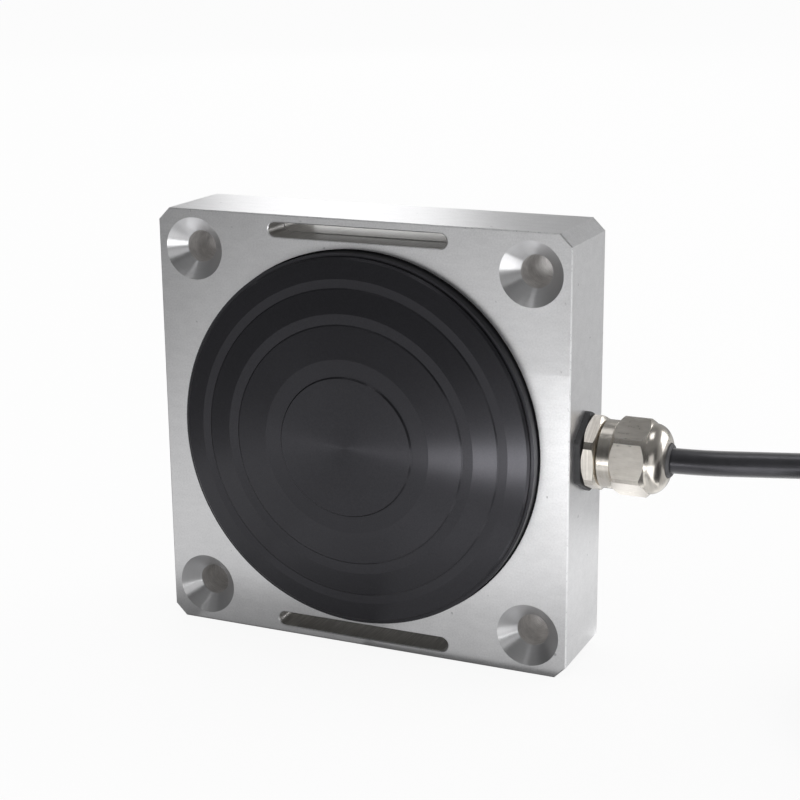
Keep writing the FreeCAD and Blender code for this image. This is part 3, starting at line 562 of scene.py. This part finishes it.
def recess_finish():
    """Turned recess, seats and cavity inside the block, darker than its outer faces: painted shade in the
    recess.
    """
    f = Finish("block_recess_turned")
    rings = f.rings(f.length(*f.from_axis()), 3000.0, 3.0, 0.6)
    f.set(base_color=f.tones(rings, (0.50, 0.50, 0.51), (0.66, 0.66, 0.67)),
          roughness=f.spread(rings, 0.30, 0.42), metallic=1.0, normal=f.relief(rings, 0.000008, 0.6))
    return f


def plate_finish():
    """Black anodised and turned: fine rings round the axis, dust-grey variation, soft streaks of light."""
    f = Finish("plate_black_anodised")
    radius = f.length(*f.from_axis())
    rings = f.rings(radius, 2600.0, 4.0, 0.65)
    bands = f.rings(radius, 420.0, 2.0, 0.5)
    tone = f.weighed(rings, f.noise(900.0, 4.0, 0.6), 0.5)
    f.set(base_color=f.tones(tone, (0.002, 0.002, 0.0025), (0.005, 0.005, 0.006)),
          roughness=f.spread(bands, 0.27, 0.30), metallic=0.0,
          anisotropic=0.86, anisotropic_rotation=ACROSS_GROOVES,
          specular_ior_level=f.spread(f.noise(3400.0, 2.0, 0.6), 0.66, 0.77), specular_tint=COOL_TINT,
          tangent=f.round_axis("Y"), normal=f.relief(rings, 0.000004, 0.6))
    return f


def cover_finish():
    """Turned aluminium back cover: fine rings round its middle."""
    f = Finish("cover_turned")
    rings = f.rings(f.length(*f.from_axis()), 3300.0, 4.0, 0.65)
    tone = f.weighed(rings, f.noise(1800.0, 3.0), 0.6)
    f.set(base_color=f.tones(tone, (0.72, 0.72, 0.73), (0.86, 0.86, 0.87)),
          roughness=f.spread(rings, 0.25, 0.34), metallic=1.0,
          anisotropic=0.6, anisotropic_rotation=ACROSS_GROOVES,
          tangent=f.round_axis("Y"), normal=f.relief(rings, 0.000006, 0.5))
    return f


def nickel_finish(name, scale, height, low, high,
                  dark=(0.68, 0.64, 0.58), light=(0.82, 0.78, 0.72), across=0.0):
    """Nickel-plated brass; scale stretches the tool marks, low and high bound the roughness."""
    f = Finish(name)
    marks = f.streaks(scale, 3.0, 0.6)
    tone = f.weighed(marks, f.noise(700.0, 3.0), 0.75)
    f.set(base_color=f.tones(tone, dark, light), roughness=f.spread(tone, low, high), metallic=1.0)
    if across:
        f.set(anisotropic=across, anisotropic_rotation=ACROSS_GROOVES, tangent=f.round_axis("X"))
    f.set(normal=f.relief(marks, height, 0.6))
    return f


def sheath_finish():
    """Black cable sheath, semi-gloss, with an even fine grain."""
    f = Finish("sheath_black")
    f.set(base_color=f.tones(f.noise(300.0, 3.0), (0.006, 0.006, 0.007), (0.013, 0.013, 0.015)),
          roughness=f.spread(f.noise(900.0, 2.0), 0.29, 0.37),
          specular_ior_level=0.8, specular_tint=COOL_TINT, sheen_weight=0.70, sheen_roughness=0.45,
          normal=f.relief(f.noise(3200.0, 2.0), 0.00001, 0.4))
    return f


def board_finish():
    """Green board with copper tracks under the varnish, running round the middle hole."""
    f = Finish("board_green")
    x, height = f.from_axis()
    tracks = f.waves(f.length(x, height), 3600.0)
    gaps = f.waves(f.math("ARCTAN2", height, x), 9.0)
    track = f.math("MULTIPLY", f.between(tracks, 0.55, 0.7), f.between(gaps, -0.55, -0.45), clamp=True)
    f.set(base_color=f.blend(track, (0.010, 0.085, 0.035), (0.035, 0.19, 0.075)),
          roughness=f.spread(f.noise(1500.0, 2.0), 0.28, 0.40), normal=f.relief(track, 0.00003, 0.6))
    return f


def tie_finish():
    """Black nylon with the strap's cross ribs."""
    f = Finish("tie_nylon")
    _, y, z = f.split()
    ribs = f.waves(f.math("ADD", y, z), 6000.0)
    grain = f.noise(2500.0, 2.0)
    f.set(base_color=f.tones(f.noise(700.0, 3.0), (0.014, 0.014, 0.015), (0.026, 0.026, 0.028)),
          roughness=f.spread(grain, 0.34, 0.44),
          normal=f.relief(grain, 0.00001, 0.4, f.relief(ribs, 0.00012, 0.7)))
    return f


def gauge_finish():
    """Foil grid of a strain gauge: thin bright lines on an amber carrier."""
    f = Finish("gauge_foil")
    x, height = f.from_axis()
    along = f.math("SUBTRACT", f.math("ABSOLUTE", x), f.math("ABSOLUTE", height))
    share = f.between(f.waves(along, 9000.0), -0.1, 0.1)
    f.set(base_color=f.blend(share, (0.42, 0.22, 0.06), (0.70, 0.62, 0.50)),
          roughness=f.spread(f.noise(2000.0, 2.0), 0.28, 0.42), normal=f.relief(share, 0.00001, 0.5))
    return f


# Which face takes which finish; lengths in millimetres from the load plate's axis and the block's middle

SINK_ZONE_R = 6.6
BORE_ZONE_R = 3.5
SLOT_ZONE_X = 19.6
SLOT_ZONE_Z = (40.2, 43.6)
RECESS_ZONE_R = 39.2
FACE_Y = 9.99
EDGE_ZONE_Y = 9.5
FLAT_OUT = 7.0
FLAT_SLACK = 0.03
FLAT_LEAN = 0.02
# How far a face's normal leans towards the block's front or back, as its share along Y
CONE_LEAN = math.sqrt(0.5)
EDGE_LEAN = (0.5, 0.9)
LEAN_SLACK = 0.1


def dress(name, *finishes):
    """Give a node or piece these materials in place of the ones it came with."""
    data = nodes[name].data if name in nodes else bpy.data.objects[name].data
    data.materials.clear()
    for finish in finishes:
        data.materials.append(finish.material)


def sort_faces(name, choose):
    """Set which of the node's materials each face takes; choose gets centre and normal in mm."""
    for face in nodes[name].data.polygons:
        x, y, z = face.center
        face.material_index = choose(x / MM, y / MM, (z - AXIS_Z) / MM, face.normal)


def housing_face(x, y, z, normal):
    """0 outer faces, 1 countersinks, 2 bores, 3 slot walls, 4 recess and cavity, 5 broken edges."""
    from_hole = math.hypot(abs(x) - HOLE_OUT, abs(z) - HOLE_OUT)
    lean = abs(normal.y)
    if from_hole < SINK_ZONE_R and abs(lean - CONE_LEAN) < LEAN_SLACK:
        return 1
    if from_hole < BORE_ZONE_R and lean < LEAN_SLACK:
        return 2
    if abs(x) < SLOT_ZONE_X and SLOT_ZONE_Z[0] < abs(z) < SLOT_ZONE_Z[1] and lean < LEAN_SLACK:
        return 3
    if math.hypot(x, z) < RECESS_ZONE_R and abs(y) < FACE_Y:
        return 4
    if EDGE_ZONE_Y < abs(y) < FACE_Y and EDGE_LEAN[0] < lean < EDGE_LEAN[1]:
        return 5
    return 0


def gland_face(_, y, z, normal):
    """0 turned faces, 1 hexagon flats."""
    from_axis = y * normal.y + z * normal.z
    return 1 if abs(normal.x) < FLAT_LEAN and abs(from_axis - FLAT_OUT) < FLAT_SLACK else 0


def dress_outside():
    """Finishes of what the photo shows, and of the back cover."""
    dress("housing_block", block_face_finish(), sink_finish(), bore_finish(), slot_finish(),
          recess_finish(), edge_finish())
    sort_faces("housing_block", housing_face)
    dress("load_plate", plate_finish())
    turned = nickel_finish("nickel_turned", (4200.0, 60.0, 60.0), 0.000002, 0.18, 0.26)
    nut_flats = nickel_finish("nickel_nut_flats", (420.0, 1500.0, 1500.0), 0.000006, 0.26, 0.36,
                              (0.60, 0.565, 0.515), (0.74, 0.705, 0.655))
    base_flats = nickel_finish("nickel_base_flats", (3000.0, 50.0, 50.0), 0.00004, 0.36, 0.44,
                               (0.54, 0.50, 0.45), (0.98, 0.94, 0.88), 0.8)
    for name, flats in (("gland_nut", nut_flats), ("gland_body", base_flats)):
        dress(name, turned, flats)
        sort_faces(name, gland_face)
    dress("back_cover", cover_finish())
    sheath = sheath_finish()
    dress("signal_cable", sheath)
    dress("cable_inner_end", sheath)
    dress("dust_ring", plain_finish("rubber_black", (0.012, 0.012, 0.013), (0.022, 0.022, 0.024), 0.58))
    dress("gland_seal", plain_finish("rubber_lip", (0.055, 0.055, 0.058), (0.095, 0.095, 0.10), 0.50))
    dress("gland_gasket", plain_finish("rubber_gasket", (0.030, 0.030, 0.032), (0.045, 0.045, 0.048), 0.55))
    dress("hank_ties", tie_finish())
    dress("end_sleeve", plain_finish("shrink_sleeve", (0.010, 0.010, 0.011), (0.020, 0.020, 0.022), 0.48,
                                     mottle=800.0, height=0.00002))


def dress_inside():
    """Finishes of what the block hides, and of the screws."""
    dress("bridge_board", board_finish())
    dress("strain_gauges", gauge_finish())
    dress("cover_seal", plain_finish("rubber_grey", (0.06, 0.06, 0.065), (0.09, 0.09, 0.095), 0.6))
    steel = plain_finish("screw_steel", (0.42, 0.42, 0.43), (0.60, 0.60, 0.61), 0.28, metallic=1.0,
                         mottle=900.0, height=0.000004)
    for name in ("element_screws", "plate_screw", "board_screws", "cover_screws"):
        dress(name, steel)
    dress("spring_element", plain_finish("spring_steel", (0.45, 0.44, 0.43), (0.58, 0.57, 0.56), 0.34,
                                         metallic=1.0, mottle=1200.0, height=0.000005))
    dress("gauge_wires", plain_finish("wire_copper", (0.62, 0.26, 0.11), (0.80, 0.40, 0.20), 0.30,
                                      metallic=1.0, mottle=2000.0))
    dress("board_pillars", plain_finish("pillar_brass", (0.62, 0.46, 0.20), (0.76, 0.58, 0.28), 0.26,
                                        metallic=1.0, mottle=900.0, height=0.000004))
    dress("trim_resistors", plain_finish("resistor_ceramic", (0.02, 0.02, 0.022), (0.05, 0.05, 0.055), 0.40,
                                         mottle=1800.0))
    dress("gland_claw", plain_finish("claw_nylon", (0.10, 0.10, 0.105), (0.16, 0.16, 0.165), 0.45))


def dress_leads():
    """Finishes of the cores, which go on as the leads, and of the bare strands."""
    tones = {
        "red": ((0.42, 0.012, 0.010), (0.58, 0.022, 0.016)),
        "white": ((0.66, 0.66, 0.63), (0.80, 0.80, 0.77)),
        "black": ((0.012, 0.012, 0.013), (0.024, 0.024, 0.026)),
        "green": ((0.010, 0.16, 0.035), (0.018, 0.26, 0.060)),
    }
    for tone, (dark, light) in tones.items():
        insulation = plain_finish("insulation_" + tone, dark, light, 0.42, mottle=900.0)
        dress("core_" + tone, insulation)
        dress("lead_" + tone, insulation)
    tinned = plain_finish("tinned_copper", (0.50, 0.49, 0.47), (0.74, 0.73, 0.70), 0.28, metallic=1.0,
                          mottle=2500.0, height=0.00002)
    for name in ("screen_strands", "lead_tips"):
        dress(name, tinned)


# Floor and backdrop

FLOOR_HALF = 6.0
FLOOR_TONE = (0.88, 0.88, 0.88)
# Tone of the floor as metal mirrors it, with painted shade to the left of a slanting line
FLOOR_IN_METAL = 0.27
FLOOR_SHADED = 0.12
SHADE_NORMAL = (0.951, -0.309, 0.0)
SHADE_EDGE = -0.090
SHADE_SOFT = 0.015
# How much of the floor's white to the camera is its own, so that the rest still shows the shadow
WHITE_SHARE = 0.90
FILL_LEVEL = 0.80
# Tones of the backdrop as metal mirrors it, each with the height where it holds
BACK_SKY = ((0.0, 0.35), (0.45, 0.32), (0.80, 0.18))
FRONT_SKY = ((0.0, 0.06), (0.40, 0.07), (0.75, 0.16))
BACK_FROM = 0.35
FRONT_FROM = -0.25


def make_floor():
    """Wide pale floor that keeps the object's shadow and shows white to the camera elsewhere."""
    mesh = bpy.data.meshes.new("floor")
    h = FLOOR_HALF
    mesh.from_pydata([(-h, -h, 0), (h, -h, 0), (h, h, 0), (-h, h, 0)], [], [(0, 1, 2, 3)])
    floor = bpy.data.objects.new("floor", mesh)
    scene.collection.objects.link(floor)
    material = bpy.data.materials.new("floor_pale")
    mesh.materials.append(material)
    t = Tree(material)
    rays = t.node("ShaderNodeLightPath").outputs
    place = t.node("ShaderNodeNewGeometry")
    across = t.node("ShaderNodeVectorMath", operation="DOT_PRODUCT")
    t.feed(across.inputs[0], place.outputs["Position"])
    t.feed(across.inputs[1], SHADE_NORMAL)
    in_metal = t.between(across.outputs["Value"], SHADE_EDGE - SHADE_SOFT, SHADE_EDGE + SHADE_SOFT,
                         FLOOR_SHADED, FLOOR_IN_METAL)
    matt = t.node("ShaderNodeBsdfDiffuse")
    t.feed(matt.inputs["Color"], t.blend(rays["Is Glossy Ray"], FLOOR_TONE, in_metal))
    white = t.node("ShaderNodeEmission")
    t.feed(white.inputs["Color"], WHITE)
    share = t.math("MULTIPLY", rays["Is Camera Ray"], WHITE_SHARE)
    out = t.node("ShaderNodeOutputMaterial")
    t.feed(out.inputs["Surface"], t.blend_shaders(share, matt.outputs[0], white.outputs[0]))


def sky_tones(t, height, steps):
    """Grey that changes with height, through the given steps."""
    ramp = t.node("ShaderNodeValToRGB")
    ramp.color_ramp.interpolation = "EASE"
    elements = ramp.color_ramp.elements
    while len(elements) < len(steps):
        elements.new(0.5)
    for element, (place, tone) in zip(elements, steps):
        element.position = place
        element.color = (tone, tone, tone, 1.0)
    t.feed(ramp.inputs[0], height)
    return ramp.outputs[0]


def make_world():
    """White backdrop to the camera, a darker one in the metal, and a plain even fill for matt surfaces."""
    scene.world = bpy.data.worlds.new("studio")
    t = Tree(scene.world)
    rays = t.node("ShaderNodeLightPath").outputs
    mirrored = t.math("MAXIMUM", rays["Is Glossy Ray"], rays["Is Transmission Ray"])
    split = t.node("ShaderNodeSeparateXYZ")
    t.feed(split.inputs[0], t.node("ShaderNodeTexCoord").outputs["Generated"])
    _, y, z = split.outputs
    back = sky_tones(t, z, BACK_SKY)
    front = sky_tones(t, z, FRONT_SKY)
    side = t.between(y, BACK_FROM, FRONT_FROM, kind="SMOOTHSTEP")
    backdrop = t.background(t.blend(side, back, front))
    lit = t.blend_shaders(mirrored, t.background(WHITE, FILL_LEVEL), backdrop)
    seen = t.blend_shaders(rays["Is Camera Ray"], lit, t.background(WHITE))
    out = t.node("ShaderNodeOutputWorld")
    t.feed(out.inputs["Surface"], seen)


# Lamps; a level of 1 is white

# The glows lie on the floor and face up: they are what the metal mirrors there.
# Name, x, y, size along x and y, level, turn about Z in degrees
GLOW_Z = 0.0001
GLOWS = (
    ("glow_plate", 0.036, -0.164, 0.06, 0.06, 7.0, 0.0),
    ("glow_front", 0.0165, -0.313, 0.42, 0.50, 0.46, 18.0),
    ("glow_far_left", -0.288, -0.442, 0.09, 0.13, 0.95, 18.0),
    ("glow_near_left", -0.0200, -0.0480, 0.040, 0.075, 0.12, 0.0),
    ("glow_near_right", 0.0290, -0.0455, 0.056, 0.066, 0.30, 0.0),
    ("glow_right", 0.195, -0.130, 0.21, 0.30, 1.5, 0.0),
    ("glow_behind", 0.190, 0.300, 0.26, 0.56, 0.26, 0.0),
    ("glow_side", 0.0590, 0.015, 0.0275, 0.13, 0.48, 0.0),
    ("glow_nut", 0.0345, 0.0240, 0.024, 0.022, 1.65, 0.0),
    ("glow_gland", 0.0815, 0.030, 0.017, 0.12, 0.36, 0.0),
)
# The softboxes stand round the part and face its middle: name, place, width, height, level
SOFTBOXES = (
    ("softbox_back_left", (-0.7040, 1.4180, 0.47), 0.27, 0.45, 1.48),
    ("softbox_above", (0.28, 0.14, 1.50), 0.60, 0.60, 1.8),
    ("softbox_back_high", (-0.64, 1.00, 1.00), 0.50, 0.45, 0.7),
    ("softbox_strip", (-0.38, -0.32, 1.40), 0.8, 0.05, 2.0),
    ("softbox_front_right", (1.2, -1.2, 0.36), 1.0, 0.66, 0.66),
    ("softbox_back_right", (1.2, 1.2, 0.5), 1.0, 0.9, 2.3),
)


def make_lamp(name, place, rotation, size_x, size_y, level):
    """Area lamp that the camera doesn't see, but metal does."""
    data = bpy.data.lights.new(name, "AREA")
    data.shape = "RECTANGLE"
    data.size = size_x
    data.size_y = size_y
    data.energy = level * math.pi * size_x * size_y
    lamp = bpy.data.objects.new(name, data)
    lamp.location = place
    lamp.rotation_euler = rotation
    lamp.visible_camera = False
    scene.collection.objects.link(lamp)


def make_lamps():
    """The glows first, then the softboxes."""
    for name, x, y, size_x, size_y, level, turn in GLOWS:
        make_lamp(name, (x, y, GLOW_Z), (math.pi, 0.0, math.radians(-turn)), size_x, size_y, level)
    for name, place, width, height, level in SOFTBOXES:
        aim = Vector((0.0, 0.0, AXIS_Z)) - Vector(place)
        make_lamp(name, place, aim.to_track_quat("-Z", "Y").to_euler(), width, height, level)


make_camera()
cable = make_cable()
make_stripped_end()
dress_outside()
dress_inside()
dress_leads()
make_floor()
make_world()
make_lamps()
